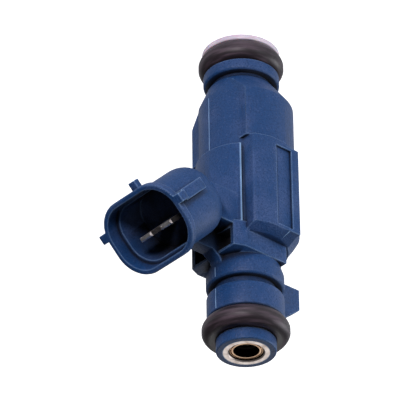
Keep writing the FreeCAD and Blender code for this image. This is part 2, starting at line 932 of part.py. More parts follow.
def under_web():
    """Web under the connector, from the shroud down to the waist."""
    return web("under_web", [
        (0, S.box_bottom), (S.root_front, S.box_bottom), (S.root_front, S.web_level),
        (S.web_heel_out, S.web_level), (S.web_heel_in, S.web_level + S.web_heel_rise),
        (S.waist_radius, S.web_top), (0, S.web_top)], S.web_half_width * 2)


def rail_key():
    """Tab at the back that turns the injector the right way round in its rail clip."""
    inner = S.clip_slot_radius - S.edge_round
    return web("rail_key", [
        (-inner, S.key_bottom), (-S.key_outer, S.key_bottom), (-S.key_outer, S.key_shoulder),
        (-S.key_neck, S.key_top), (-inner, S.key_root_top)], S.key_thickness)


def tilted_slab(name, half_width, half_height, radius, back, front):
    """Length of the connector's rounded section, in the connector's own frame."""
    return rounded_block(
        name,
        (back, -half_width, S.connector_centre - half_height),
        (front, half_width, S.connector_centre + half_height),
        radius)


def latch(name, side, low_edge):
    """Block at the rim and the lower rib behind it, on one short side of the connector."""
    inner = S.shroud_half_width - OVERRUN
    low = S.connector_centre + low_edge
    high = low + S.latch_height
    block_back = S.mouth - S.latch_block_length
    pieces = []
    for part, proud, back, front in (
            ("block", S.latch_block_proud, block_back, S.mouth),
            ("rib", S.latch_rib_proud, block_back - S.latch_rib_length, block_back)):
        outer = S.lip_half_width + proud
        near, far = (inner, outer) if side > 0 else (-outer, -inner)
        spread = S.latch_rib_spread if part == "rib" else Size.of(0)
        pieces.append(tilted_block(
            "%s_%s" % (name, part), (back, near, low - spread), (front, far, high + spread)))
    return pieces


def shroud():
    """Outside of the connector: barrel with a rounded back end, rim, side latches and keying lug."""
    wide, high = S.shroud_half_width, S.shroud_half_height
    square = block("shroud_square", (S.shroud_end, -wide, S.connector_centre - high),
                   (S.mouth - S.lip_length / 2, wide, S.connector_centre + high))
    body = tilted(rounded("shroud_body", square, S.shroud_corner, either(along("X"), at_back(S.shroud_end))))
    slab = tilted(tilted_slab(
        "lip_slab", S.lip_half_width, S.lip_half_height, S.lip_corner,
        S.mouth - S.lip_length, S.mouth))
    lip = rounded("shroud_lip", slab, S.small_round, at_reach(S.mouth))
    top = S.connector_centre - high
    lug = tilted_block(
        "keying_lug", (S.lug_back, -S.lug_half_width, top - S.lug_proud),
        (S.lug_front, S.lug_half_width, top + OVERRUN))
    return ([body, lip, lug] + latch("latch_left", 1, S.latch_low_left)
            + latch("latch_right", -1, S.latch_low_right))


def socket_cavity():
    """Room inside the connector: a seal step at the mouth and the deep socket behind it."""
    return tilted(joined("socket_cavity", [
        tilted_slab("socket_deep", S.socket_half_width, S.socket_half_height, S.socket_corner,
                    S.socket_floor, S.mouth + OVERRUN),
        tilted_slab("socket_step", S.seal_step_half_width, S.seal_step_half_height, S.seal_step_corner,
                    S.mouth - S.seal_step_depth, S.mouth + OVERRUN)]))


def metal_envelope():
    """Room that the moulding leaves for the metal and the coil inside it."""
    return turned("metal_envelope", [
        (0, -FAR), (S.body_tip_outer, -FAR), (S.body_tip_outer, S.guide_bottom),
        (S.guide_outer, S.guide_bottom), (S.guide_outer, S.shell_bottom),
        (S.shell_outer, S.shell_bottom), (S.shell_outer, S.cover_top),
        (S.guide_outer, S.cover_top), (S.guide_outer, S.pole_shoulder_top),
        (S.tube_outer, S.pole_shoulder_top), (S.tube_outer, FAR), (0, FAR)])


def under_pocket(name, side):
    """Cored-out pocket beside the web, under the connector."""
    near = S.web_half_width
    low, high = (near, S.pocket_half_width) if side > 0 else (-S.pocket_half_width, -near)
    return block(name, (S.pocket_floor, low, S.pocket_bottom), (S.pocket_front, high, S.pocket_top))


def housing():
    """The moulded nylon body with its connector."""
    outside = joined("housing_outside", [
        barrel(),
        upper_side("upper_side_left", 1, S.slope_top_left),
        upper_side("upper_side_right", -1, S.slope_top_right),
        window_pad("window_pad_left", 1),
        window_pad("window_pad_right", -1),
        front_pad(),
        root_box(),
        roofed("connector_root", S.root_half_width, S.root_ridge_height, 0, S.root_front, S.root_top),
        under_web(),
        rail_key()] + lower_side("lower_side_left", 1) + lower_side("lower_side_right", -1) + shroud())
    inside = joined("housing_inside", [
        metal_envelope(),
        socket_cavity(),
        post("post_room"),
        terminal_left,
        terminal_right,
        window_recess("window_recess_left", 1),
        window_recess("window_recess_right", -1),
        under_pocket("under_pocket_left", 1),
        under_pocket("under_pocket_right", -1)])
    return without("housing", outside, inside)


def inlet_collar():
    """Moulded ring on the inlet tube, its outer edges rounded."""
    square = ring("collar_square", S.tube_outer, S.collar_radius, S.collar_bottom, S.inlet_face)
    return rounded("inlet_collar", square, S.small_round, either(
        level_circle(S.collar_radius, S.collar_bottom), level_circle(S.collar_radius, S.inlet_face)))


keep("housing", housing())
keep("inlet_collar", inlet_collar())


# ---------------------------------------------------------------- seals and nozzle cap

def o_ring(name, height, inner):
    """O-ring as it sits in its groove, with a narrow land where it meets a bore."""
    torus = doc.addObject("Part::Torus", name + "_torus")
    drive(torus, "Radius1", S.seal_outer - S.seal_section)
    drive(torus, "Radius2", S.seal_section + S.seal_squeeze)
    drive(torus, ".Placement.Base.z", height)
    limits = ring(name + "_limits", inner, S.seal_outer, height - S.seal_section, height + S.seal_section)
    return shared(name, [torus, limits])


def nozzle_cap():
    """Plastic cap that holds the nozzle's O-ring and shields the tip."""
    square = turned("cap_square", [
        (S.body_tip_outer, S.cap_tip),
        (S.cap_hub, S.cap_tip),
        (S.cap_hub, S.cap_face),
        (S.cap_radius, S.cap_face),
        (S.cap_radius, S.cap_back),
        (S.body_tip_outer, S.cap_back)])
    return rounded("nozzle_cap", square, S.cap_round, either(
        level_circle(S.cap_radius, S.cap_face), level_circle(S.cap_radius, S.cap_back)))


keep("lower_o_ring", o_ring("lower_o_ring", Size.of(0), S.body_tip_outer))
keep("upper_o_ring", o_ring("upper_o_ring", S.rail_seal_height, S.tube_outer))
keep("nozzle_cap", nozzle_cap())


# ---------------------------------------------------------------- check and write

def check_document():
    """Stop if any object failed or any sub-part isn't a good shape."""
    doc.recompute()
    for thing in doc.Objects:
        for state in thing.State:
            if state in ("Invalid", "Error"):
                raise RuntimeError("%s is %s" % (thing.Name, state))
    for name, thing in parts.items():
        if thing.Shape.isNull() or not thing.Shape.isValid():
            raise RuntimeError("%s has no valid shape" % name)


def write_parts():
    """Write each sub-part to its own STEP file."""
    os.makedirs("parts", exist_ok=True)
    for name, thing in parts.items():
        thing.Shape.exportStep(os.path.join("parts", name + ".step"))
        bounds = thing.Shape.BoundBox
        print("%-18s solids %d  volume %9.3f mm3  z %6.2f to %6.2f" % (
            name, len(thing.Shape.Solids), thing.Shape.Volume, bounds.ZMin, bounds.ZMax))


check_document()
write_parts()
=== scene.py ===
"""Looks of a port fuel injector: moulded nylon body, rubber seals, metal parts, studio and camera."""

import logging
import math
from dataclasses import dataclass, field
from enum import Enum
from typing import ClassVar, Sequence, Union

import bmesh
import bpy
from mathutils import Matrix, Vector


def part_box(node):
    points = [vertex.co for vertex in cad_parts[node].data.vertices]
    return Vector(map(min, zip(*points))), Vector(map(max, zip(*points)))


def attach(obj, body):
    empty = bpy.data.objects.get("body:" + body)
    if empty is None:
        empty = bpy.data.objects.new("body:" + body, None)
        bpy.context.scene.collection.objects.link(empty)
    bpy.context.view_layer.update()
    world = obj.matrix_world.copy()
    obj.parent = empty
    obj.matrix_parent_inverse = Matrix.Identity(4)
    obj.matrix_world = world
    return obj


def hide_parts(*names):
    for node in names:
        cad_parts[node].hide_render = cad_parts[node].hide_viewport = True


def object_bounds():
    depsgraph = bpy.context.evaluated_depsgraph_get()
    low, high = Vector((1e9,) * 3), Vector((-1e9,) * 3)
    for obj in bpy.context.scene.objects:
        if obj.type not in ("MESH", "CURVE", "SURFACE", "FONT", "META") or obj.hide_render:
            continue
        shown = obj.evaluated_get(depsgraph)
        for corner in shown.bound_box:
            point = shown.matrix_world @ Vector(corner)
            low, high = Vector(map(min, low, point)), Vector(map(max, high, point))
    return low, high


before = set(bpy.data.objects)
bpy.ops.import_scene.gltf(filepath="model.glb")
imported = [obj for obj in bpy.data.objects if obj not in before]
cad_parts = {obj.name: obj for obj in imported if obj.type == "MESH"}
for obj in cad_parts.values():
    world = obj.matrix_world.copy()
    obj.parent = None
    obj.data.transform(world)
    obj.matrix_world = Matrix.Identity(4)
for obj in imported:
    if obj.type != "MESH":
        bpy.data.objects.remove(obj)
CAD_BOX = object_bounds()

MM = 0.001
BODY = "injector"
AO_SAMPLES = 8
Colour = tuple[float, float, float]
Span = tuple[float, float]
WHITE: Colour = (1.0, 1.0, 1.0)
log = logging.getLogger("injector")


# ---------------------------------------------------------------- shader nodes


class Wire:
    """A node's output, on which plain arithmetic adds Math nodes."""

    def __init__(self, tree: "Tree", socket: bpy.types.NodeSocket) -> None:
        """Keep the tree and the socket.

        Args:
            tree: The material's tree that owns the socket.
            socket: The output that this wire stands for.
        """
        self.tree = tree
        self.socket = socket

    def __add__(self, other: "Number") -> "Wire":
        """This wire plus another."""
        return self.tree.maths("ADD", self, other)

    def __rsub__(self, other: float) -> "Wire":
        """A number minus this wire."""
        return self.tree.maths("SUBTRACT", other, self)

    def __mul__(self, other: "Number") -> "Wire":
        """This wire times another."""
        return self.tree.maths("MULTIPLY", self, other)

    __radd__ = __add__
    __rmul__ = __mul__


Number = Union[Wire, float]


class Tree:
    """The node tree of one material, with its Principled shader."""

    def __init__(self, material: bpy.types.Material) -> None:
        """Empty the material's tree and put a Principled shader in it.

        Args:
            material: The material to fill.
        """
        material.use_nodes = True
        self.tree = material.node_tree
        self.tree.nodes.clear()
        self.shader = self.tree.nodes.new("ShaderNodeBsdfPrincipled")
        output = self.tree.nodes.new("ShaderNodeOutputMaterial")
        self.tree.links.new(self.shader.outputs["BSDF"], output.inputs["Surface"])
        self.place = self.node("ShaderNodeTexCoord", output="Object")

    def node(
        self,
        kind: str,
        settings: dict[str, object] | None = None,
        inputs: dict[int | str, object] | None = None,
        output: int | str = 0,
    ) -> Wire:
        """Add a node of any kind.

        Args:
            kind: The node's type.
            settings: Its own properties.
            inputs: What its sockets hold or are linked to, by name or number.
            output: The output that the wire stands for.

        Returns:
            The wire of that output.
        """
        made = self.tree.nodes.new(kind)
        for name, value in (settings or {}).items():
            setattr(made, name, value)
        for name, value in (inputs or {}).items():
            self.plug(made.inputs[name], value)
        return Wire(self, made.outputs[output])

    def plug(self, socket: bpy.types.NodeSocket, value: object) -> None:
        """Link a wire to a socket, or set the socket's own value.

        Args:
            socket: The input to feed.
            value: A wire, a number, a vector or a colour.
        """
        if isinstance(value, Wire):
            self.tree.links.new(value.socket, socket)
        elif isinstance(value, tuple) and socket.type == "RGBA":
            socket.default_value = (*value, 1.0)
        else:
            socket.default_value = value

    def maths(self, operation: str, first: Number, second: Number = 0.0) -> Wire:
        """Add a Math node."""
        return self.node("ShaderNodeMath", {"operation": operation}, {0: first, 1: second})

    def between(self, value: Wire, low: float, high: float) -> Wire:
        """Stretch a range of a value smoothly to 0 and 1.

        Args:
            value: The value to stretch.
            low: What becomes 0.
            high: What becomes 1.

        Returns:
            The stretched value, held between 0 and 1.
        """
        return self.node(
            "ShaderNodeMapRange", {"interpolation_type": "SMOOTHSTEP"}, {0: value, 1: low, 2: high})

    def blend(self, share: Number, first: object, second: object) -> Wire:
        """Mix two colours.

        Args:
            share: How much of the second colour shows, 0 to 1.
            first: A wire or a colour.
            second: A wire or a colour.

        Returns:
            The mixed colour.
        """
        return self.node(
            "ShaderNodeMix", {"data_type": "RGBA"}, {0: share, 6: first, 7: second}, output=2)

    def stretched(self, across: float, along: float) -> Wire:
        """Object coordinates in millimetres, scaled separately across the axis and along it.

        Args:
            across: The scale of both directions square to the axis.
            along: The scale of the direction of the axis.

        Returns:
            The scaled coordinates.
        """
        scale = (across / MM, across / MM, along / MM)
        return self.node("ShaderNodeVectorMath", {"operation": "MULTIPLY"}, {0: self.place, 1: scale})

    def noise(self, size: float, detail: float, place: Wire | None = None) -> Wire:
        """Soft noise.

        Args:
            size: The size of its spots in millimetres.
            detail: How many finer layers it has.
            place: Coordinates in millimetres, where they aren't the plain ones.

        Returns:
            The noise, about 0 to 1.
        """
        inputs = {"Vector": place or self.stretched(1.0, 1.0), "Scale": 1.0 / size, "Detail": detail}
        return self.node("ShaderNodeTexNoise", inputs=inputs)

    def cells(self, size: float) -> Wire:
        """Distance to the middle of irregular cells.

        Args:
            size: The size of a cell in millimetres.

        Returns:
            The distance, as a share of a cell's size.
        """
        return self.node(
            "ShaderNodeTexVoronoi", inputs={"Vector": self.stretched(1.0, 1.0), "Scale": 1.0 / size})

    def from_axis(self) -> Wire:
        """Distance from the injector's axis in millimetres."""
        flat = self.stretched(1.0, 0.0)
        return self.node("ShaderNodeVectorMath", {"operation": "LENGTH"}, {0: flat}, output="Value")

    def height(self) -> Wire:
        """Height along the injector's axis in millimetres."""
        return self.node("ShaderNodeSeparateXYZ", inputs={0: self.stretched(1.0, 1.0)}, output="Z")

    def round_axis(self) -> Wire:
        """Work out the angle about the injector's axis.

        Returns:
            The angle in radians.
        """
        across = self.node("ShaderNodeSeparateXYZ", inputs={0: self.stretched(1.0, 0.0)}, output="X")
        deep = Wire(self, across.socket.node.outputs["Y"])
        return self.maths("ARCTAN2", deep, across)

    def edges(self, reach: float, sharp: float = 0.5, flat: float = 0.94) -> Wire:
        """Mark outward edges, where the other side of the material is near.

        Args:
            reach: How far from the edge the mark fades out, in millimetres.
            sharp: The open share of the inside at which the mark is full.
            flat: The open share at which there is no mark.

        Returns:
            The mark, 1 on the edge and 0 away from it.
        """
        depth = self.node(
            "ShaderNodeAmbientOcclusion", {"samples": AO_SAMPLES, "inside": True, "only_local": True},
            {"Distance": reach * MM}, output="AO")
        return 1.0 - self.between(depth, sharp, flat)

    def corners(self, reach: float, shut: float = 0.35, free: float = 0.95) -> Wire:
        """Mark inward corners and cavities, where another surface is near.

        Args:
            reach: How far from the corner the mark fades out, in millimetres.
            shut: The open share of the surroundings at which the mark is full.
            free: The open share at which there is no mark.

        Returns:
            The mark, 1 in the corner and 0 away from it.
        """
        room = self.node(
            "ShaderNodeAmbientOcclusion", {"samples": AO_SAMPLES}, {"Distance": reach * MM}, output="AO")
        return 1.0 - self.between(room, shut, free)

    def relief(self, height: Wire, depth: float, strength: float = 1.0, under: Wire | None = None) -> Wire:
        """Turn a height into a bent normal.

        Args:
            height: The height, 0 to 1.
            depth: What a height of 1 stands for, in millimetres.
            strength: How much of it shows.
            under: A normal that it bends further.

        Returns:
            The normal.
        """
        inputs = {"Height": height, "Distance": depth * MM, "Strength": strength}
        if under is not None:
            inputs["Normal"] = under
        return self.node("ShaderNodeBump", inputs=inputs)

    def finish(self, **sockets: object) -> None:
        """Set or link the Principled shader's sockets; an underscore in a name stands for a space."""
        for name, value in sockets.items():
            self.plug(self.shader.inputs[name.replace("_", " ")], value)


# ---------------------------------------------------------------- finishes


def darker(colour: Colour, share: float) -> Colour:
    """A colour with only a share of its light."""
    return tuple(part * share for part in colour)


@dataclass(frozen=True)
class Finish:
    """A material that is made once and then shared."""

    label: str
    made: ClassVar[dict[str, bpy.types.Material]] = {}

    def material(self) -> bpy.types.Material:
        """Find the material of this finish, or make it on first use.

        Returns:
            The material.
        """
        if self.label not in self.made:
            material = bpy.data.materials.new(self.label)
            self.weave(Tree(material))
            self.made[self.label] = material
        return self.made[self.label]

    def weave(self, tree: Tree) -> None:
        """Fill the material's tree."""
        raise NotImplementedError


@dataclass(frozen=True)
class MouldedNylon(Finish):
    """Filled nylon from a fine-eroded mould: matt and mottled, with painted edge highlights and painted
    shade in corners and hollows.

    Sizes are in millimetres. A span holds the two values between which a mark fades, and a share says
    how strongly a full mark shows.
    """

    colour: Colour
    pale: Colour
    # Paler blue for the painted highlight on outward edges.
    edge_highlight: Colour = (0.26, 0.44, 0.70)
    # Near black for the painted shade in deep cavities.
    unlit: Colour = (0.001, 0.001, 0.002)
    grain: float = 0.26
    fibre: float = 0.3
    fibre_stretch: float = 0.7
    speck: float = 0.48
    cloud: float = 5.0
    edge: float = 0.3
    corner: float = 1.6
    cavity: float = 9.0
    cloud_span: Span = (0.4, 0.7)
    fibre_span: Span = (0.54, 0.72)
    speck_span: Span = (0.04, 0.16)
    pore_span: Span = (0.46, 0.7)
    cavity_span: Span = (0.22, 0.78)
    cloud_share: float = 0.4
    fibre_share: float = 0.45
    speck_share: float = 0.2
    pore_share: float = 0.8
    corner_shade_share: float = 0.8
    cavity_shade_share: float = 0.98
    edge_highlight_base: float = 0.25
    pore_tone: float = 0.62
    corner_shade_tone: float = 0.25
    dull: float = 0.5
    dull_drop: float = 0.14
    cloud_dull: float = 0.16
    grain_dull: float = 0.12
    cavity_dull: float = 0.4
    grain_depth: float = 0.06
    fibre_depth: float = 0.05
    fibre_strength: float = 0.6
    shine: float = 0.3

    def mottle(self, tree: Tree, grain: Wire, cloud: Wire, fibre: Wire) -> Wire:
        """Lay pale clouds, fibres and specks and dark pores over the nylon's own colour.

        Args:
            tree: The material's tree.
            grain: Fine noise of the eroded skin.
            cloud: Broad noise of the flow.
            fibre: Noise of the glass fibres.

        Returns:
            The mottled colour.
        """
        bloom = tree.between(cloud, *self.cloud_span) * self.cloud_share
        bloom = bloom + tree.between(fibre, *self.fibre_span) * self.fibre_share
        speck = 1.0 - tree.between(tree.cells(self.speck), *self.speck_span)
        colour = tree.blend(bloom + speck * self.speck_share, self.colour, self.pale)
        pores = tree.between(grain, *self.pore_span) * self.pore_share
        return tree.blend(pores, colour, darker(self.colour, self.pore_tone))

    def weave(self, tree: Tree) -> None:
        """Mottled colour, painted highlights on edges, painted shade in corners and hollows, cloudy
        roughness and a fine grain.

        Args:
            tree: The material's tree.
        """
        grain = tree.noise(self.grain, 2.0)
        cloud = tree.noise(self.cloud, 3.0)
        fibre = tree.noise(self.fibre, 4.0, tree.stretched(1.0, self.fibre_stretch))
        colour = self.mottle(tree, grain, cloud, fibre)
        # Painted shade: a darker blue laid into inward corners, where shade falls.
        corner_shade = darker(self.colour, self.pore_tone * self.corner_shade_tone)
        colour = tree.blend(tree.corners(self.corner) * self.corner_shade_share, colour, corner_shade)
        # Painted shade: near black laid into deep cavities such as the socket, where little light reaches;
        # the same mask also roughens them.
        hollow_shade_mask = tree.corners(self.cavity, *self.cavity_span)
        colour = tree.blend(hollow_shade_mask * self.cavity_shade_share, colour, self.unlit)
        # Painted highlight: a paler blue laid along outward edges, standing in for light caught by rounded
        # edges.
        colour = tree.blend(tree.edges(self.edge) * (cloud + self.edge_highlight_base), colour, self.edge_highlight)
        rough = cloud * self.cloud_dull + grain * self.grain_dull + hollow_shade_mask * self.cavity_dull
        threads = tree.relief(fibre, self.fibre_depth, self.fibre_strength)
        tree.finish(
            Base_Color=colour, Roughness=rough + (self.dull - self.dull_drop),
            Normal=tree.relief(grain, self.grain_depth, 1.0, threads), Specular_IOR_Level=self.shine)


@dataclass(frozen=True)
class SealRubber(Finish):
    """Black fluoro rubber with a smear of dried assembly oil round the ring."""

    label: str = "seal_rubber_black"
    colour: Colour = (0.020, 0.014, 0.018)
    bloom: Colour = (0.082, 0.056, 0.074)
    dust: Colour = (0.12, 0.11, 0.11)
    skin: float = 0.12
    dust_size: float = 0.5
    streaks_round: float = 1.4
    streaks_out: float = 1.7
    streaks_up: float = 1.5
    smear_span: Span = (0.42, 0.72)
    dust_span: Span = (0.02, 0.1)
    smear_share: float = 0.85
    dust_share: float = 0.25
    dull: float = 0.28
    smear_dull: float = 0.3
    skin_dull: float = 0.1
    skin_depth: float = 0.01
    skin_strength: float = 0.4

    def weave(self, tree: Tree) -> None:
        """Streaks that run round the axis, and a fine skin.

        Args:
            tree: The material's tree.
        """
        turn = tree.round_axis() * self.streaks_round
        out = tree.from_axis() * self.streaks_out
        up = tree.height() * self.streaks_up
        smear = tree.noise(1.0, 4.0, tree.node("ShaderNodeCombineXYZ", inputs={0: turn, 1: out, 2: up}))
        skin = tree.noise(self.skin, 2.0)
        dust = 1.0 - tree.between(tree.cells(self.dust_size), *self.dust_span)
        smeared = tree.between(smear, *self.smear_span) * self.smear_share
        colour = tree.blend(smeared, self.colour, self.bloom)
        colour = tree.blend(dust * self.dust_share, colour, self.dust)
        rough = smear * self.smear_dull + skin * self.skin_dull + self.dull
        normal = tree.relief(skin, self.skin_depth, self.skin_strength)
        tree.finish(Base_Color=colour, Roughness=rough, Normal=normal, IOR=1.45)


@dataclass(frozen=True)
class PaleNylon(Finish):
    """Unfilled white nylon: a little light passes through it."""

    label: str = "white_nylon_cap"
    colour: Colour = (0.70, 0.64, 0.72)
    shade: Colour = (0.60, 0.53, 0.62)
    cloud: float = 2.5
    grain: float = 0.2
    cloud_span: Span = (0.35, 0.7)
    dull: float = 0.3
    cloud_dull: float = 0.2
    grain_dull: float = 0.1
    grain_depth: float = 0.01
    grain_strength: float = 0.3
    passing: float = 0.2
    passing_depth: float = 0.6 * MM

    def weave(self, tree: Tree) -> None:
        """Cloudy white with a fine grain.

        Args:
            tree: The material's tree.
        """
        cloud = tree.noise(self.cloud, 3.0)
        grain = tree.noise(self.grain, 2.0)
        colour = tree.blend(tree.between(cloud, *self.cloud_span), self.colour, self.shade)
        rough = cloud * self.cloud_dull + grain * self.grain_dull + self.dull
        normal = tree.relief(grain, self.grain_depth, self.grain_strength)
        tree.finish(
            Base_Color=colour, Roughness=rough, Normal=normal,
            Subsurface_Weight=self.passing, Subsurface_Scale=self.passing_depth, IOR=1.5)


class Cut(Enum):
    """How a metal surface was made."""

    TURNED = "turned on a lathe"
    DRAWN = "drawn through a die"
    GROUND = "ground and lapped"
    STAMPED = "stamped from strip"


@dataclass(frozen=True)
class Metal(Finish):
    """A bare or plated metal, with painted shade, near black, inside a bore where it has one.

    The painted shade covers what is nearer to the axis than the given bore radius, in millimetres.
    """

    colour: Colour
    stain: Colour
    cut: Cut
    dull: float
    bore_shade_radius: float = 0.0
    bore_shade: Colour = (0.012, 0.008, 0.006)
    bore_shade_fade: float = 0.08
    stain_size: float = 1.6
    stain_span: Span = (0.38, 0.72)
    dull_drop: float = 0.14
    turning_lines: float = 9.0
    mark_depth: float = 0.008
    mark_strength: float = 0.5
    mark_dull: float = 0.22
    stain_dull: float = 0.12

    def marks(self, tree: Tree) -> Wire:
        """Make the tool marks of this cut.

        Args:
            tree: The material's tree.

        Returns:
            The marks' height, about 0 to 1.
        """
        if self.cut is Cut.TURNED:
            lines = {0: tree.from_axis() * self.turning_lines, 1: tree.height() * self.turning_lines}
            return tree.noise(1.0, 2.0, tree.node("ShaderNodeCombineXYZ", inputs=lines))
        if self.cut is Cut.DRAWN:
            return tree.noise(0.12, 3.0, tree.stretched(1.0, 0.06))
        if self.cut is Cut.STAMPED:
            return tree.noise(0.3, 4.0, tree.stretched(1.0, 0.3))
        return tree.noise(0.08, 2.0)

    def weave(self, tree: Tree) -> None:
        """Tool marks in the relief and the gloss; stains, and painted shade inside the bore, in the
        colour.

        Args:
            tree: The material's tree.
        """
        marks = self.marks(tree)
        stain = tree.noise(self.stain_size, 4.0)
        colour = tree.blend(tree.between(stain, *self.stain_span), self.colour, self.stain)
        # Painted shade: near black laid inside the bore, where little light reaches.
        if self.bore_shade_radius:
            start = self.bore_shade_radius + self.bore_shade_fade
            deep = tree.between(tree.from_axis(), start, self.bore_shade_radius)
            colour = tree.blend(deep, colour, self.bore_shade)
        rough = marks * self.mark_dull + stain * self.stain_dull + (self.dull - self.dull_drop)
        normal = tree.relief(marks, self.mark_depth, self.mark_strength)
        tree.finish(Base_Color=colour, Metallic=1.0, Roughness=rough, Normal=normal)


@dataclass(frozen=True)
class WoundCopper(Finish):
    """Enamelled copper wire, laid side by side."""

    label: str = "enamelled_copper"
    colour: Colour = (0.62, 0.22, 0.08)
    shade: Colour = (0.36, 0.10, 0.03)
    wire: float = 0.2
    stain_size: float = 1.2
    stain_span: Span = (0.3, 0.7)
    dull: float = 0.25

    def weave(self, tree: Tree) -> None:
        """Turns one above the other under clear enamel.

        Args:
            tree: The material's tree.
        """
        turns = tree.maths("SINE", tree.height() * (math.tau / self.wire)) * 0.5 + 0.5
        stain = tree.noise(self.stain_size, 3.0)
        colour = tree.blend(tree.between(stain, *self.stain_span), self.colour, self.shade)
        tree.finish(
            Base_Color=colour, Metallic=1.0, Roughness=stain * 0.15 + self.dull,
            Normal=tree.relief(turns, self.wire / 3, 0.8), Coat_Weight=turns * 0.5 + 0.3)


@dataclass(frozen=True)
class WovenMesh(Finish):
    """Fine woven filter cloth."""

    label: str = "filter_cloth"
    thread: Colour = (0.62, 0.60, 0.54)
    gap: Colour = (0.09, 0.09, 0.08)
    pitch: float = 0.14
    warp_threads: float = 88.0
    thread_span: Span = (0.5, 0.8)
    thread_depth: float = 0.03

    def weave(self, tree: Tree) -> None:
        """Threads round the basket and along it.

        Args:
            tree: The material's tree.
        """
        weft = tree.maths("SINE", tree.height() * (math.tau / self.pitch))
        warp = tree.maths("SINE", tree.round_axis() * self.warp_threads)
        threads = tree.maths("MAXIMUM", weft, warp) * 0.5 + 0.5
        colour = tree.blend(tree.between(threads, *self.thread_span), self.gap, self.thread)
        normal = tree.relief(threads, self.thread_depth, 0.8)
        tree.finish(Base_Color=colour, Roughness=0.8 - threads * 0.2, Normal=normal)


BLUE = MouldedNylon("moulded_nylon_blue", colour=(0.007, 0.048, 0.160), pale=(0.060, 0.100, 0.235))
# A lighter copy of the blue nylon for the mould lines: a painted highlight along the raised lines.
HIGHLIT_FLASH = MouldedNylon(
    "moulded_nylon_flash_highlit", colour=(0.06, 0.12, 0.27), pale=(0.18, 0.27, 0.46), fibre=0.6, speck=0.96)
SPOOL = MouldedNylon(
    "spool_nylon", colour=(0.030, 0.026, 0.024), pale=(0.06, 0.052, 0.046), edge_highlight=(0.10, 0.09, 0.08))
FILM = MouldedNylon(
    "amber_film", colour=(0.42, 0.17, 0.03), pale=(0.5, 0.24, 0.06), edge_highlight=(0.6, 0.3, 0.1), dull=0.34)
RUBBER = SealRubber()
CAP = PaleNylon()
STEEL = Metal("bright_steel_turned", (0.66, 0.57, 0.53), (0.46, 0.37, 0.33), Cut.TURNED, dull=0.5)
IRON = Metal("soft_iron_plated", (0.47, 0.45, 0.42), (0.34, 0.31, 0.29), Cut.TURNED, dull=0.42)
TUBE = Metal(
    "inlet_steel_turned", (0.74, 0.66, 0.62), (0.50, 0.41, 0.36), Cut.TURNED, dull=0.42,
    bore_shade_radius=2.88)
BALL = Metal("ball_steel_lapped", (0.72, 0.72, 0.73), (0.66, 0.66, 0.68), Cut.GROUND, dull=0.16)
SPRING = Metal("spring_wire_drawn", (0.55, 0.53, 0.50), (0.42, 0.38, 0.34), Cut.DRAWN, dull=0.3)
BRASS = Metal(
    "filter_brass_turned", (0.62, 0.42, 0.27), (0.34, 0.20, 0.12), Cut.TURNED, dull=0.3,
    bore_shade_radius=2.15)
SLEEVE = Metal("sleeve_brass_turned", (0.62, 0.42, 0.22), (0.50, 0.30, 0.14), Cut.TURNED, dull=0.3)
TIN = Metal("terminal_tin_stamped", (0.88, 0.85, 0.82), (0.66, 0.62, 0.58), Cut.STAMPED, dull=0.34)
COPPER = WoundCopper()
CLOTH = WovenMesh()


# ---------------------------------------------------------------- pieces


@dataclass
class Assembly:
    """A group of pieces that are dressed or built together."""

    body: str = BODY
    done: list[str] = field(default_factory=list)
    crease: float = math.radians(35)

    def dress(self, finish: Finish, *nodes: str) -> None:
        """Give CAD nodes a finish.

        Args:
            finish: The finish that they get.
            nodes: The names of the nodes.
        """
        for name in nodes:
            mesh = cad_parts[name].data
            mesh.materials.clear()
            mesh.materials.append(finish.material())
            self.done.append(name)

    def add(self, name: str, mesh: bmesh.types.BMesh, finish: Finish, slot: str) -> bpy.types.Object:
        """Turn a mesh into a piece that rides on this assembly's body.

        Args:
            name: The piece's name.
            mesh: Its shape, in metres; it is freed.
            finish: Its finish.
            slot: The record's material slot that the finish belongs to; not used.

        Returns:
            The new object.
        """
        data = bpy.data.meshes.new(name)
        bmesh.ops.recalc_face_normals(mesh, faces=mesh.faces[:])
        mesh.to_mesh(data)
        mesh.free()
        data.shade_smooth()
        data.set_sharp_from_angle(angle=self.crease)
        data.materials.append(finish.material())
        piece = bpy.data.objects.new(name, data)
        bpy.context.scene.collection.objects.link(piece)
        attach(piece, self.body)
        self.done.append(name)
        return piece

    def build(self) -> None:
        """Build and dress everything in the group."""
        raise NotImplementedError

    def report(self) -> None:
        """Say which pieces were made or dressed."""
        for name in self.done:
            log.info("%s: %s", type(self).__name__, name)


def joined_rows(rows: Sequence[Sequence[bmesh.types.BMVert]], mesh: bmesh.types.BMesh) -> None:
    """Put faces between each row of points and the next, all the way round the rows.

    Args:
        rows: Rows of as many points each, the last point of a row beside its first.
        mesh: The mesh that holds the points.
    """
    count = len(rows[0])
    for here, there in zip(rows, rows[1:]):
        for start in range(count):
            end = (start + 1) % count
            mesh.faces.new((here[start], here[end], there[end], there[start]))


def turned(profile: Sequence[tuple[float, float]], steps: int = 96) -> bmesh.types.BMesh:
    """Turn a closed profile round the injector's axis.

    Args:
        profile: Points (distance from the axis, height) in millimetres.
        steps: How many facets go round.

    Returns:
        A closed mesh, in metres.
    """
    mesh = bmesh.new()
    rows = []
    for step in range(steps):
        angle = math.tau * step / steps
        out = Vector((math.cos(angle), math.sin(angle), 0))
        rows.append([mesh.verts.new((out * reach + Vector((0, 0, up))) * MM) for reach, up in profile])
    joined_rows(rows + rows[:1], mesh)
    return mesh


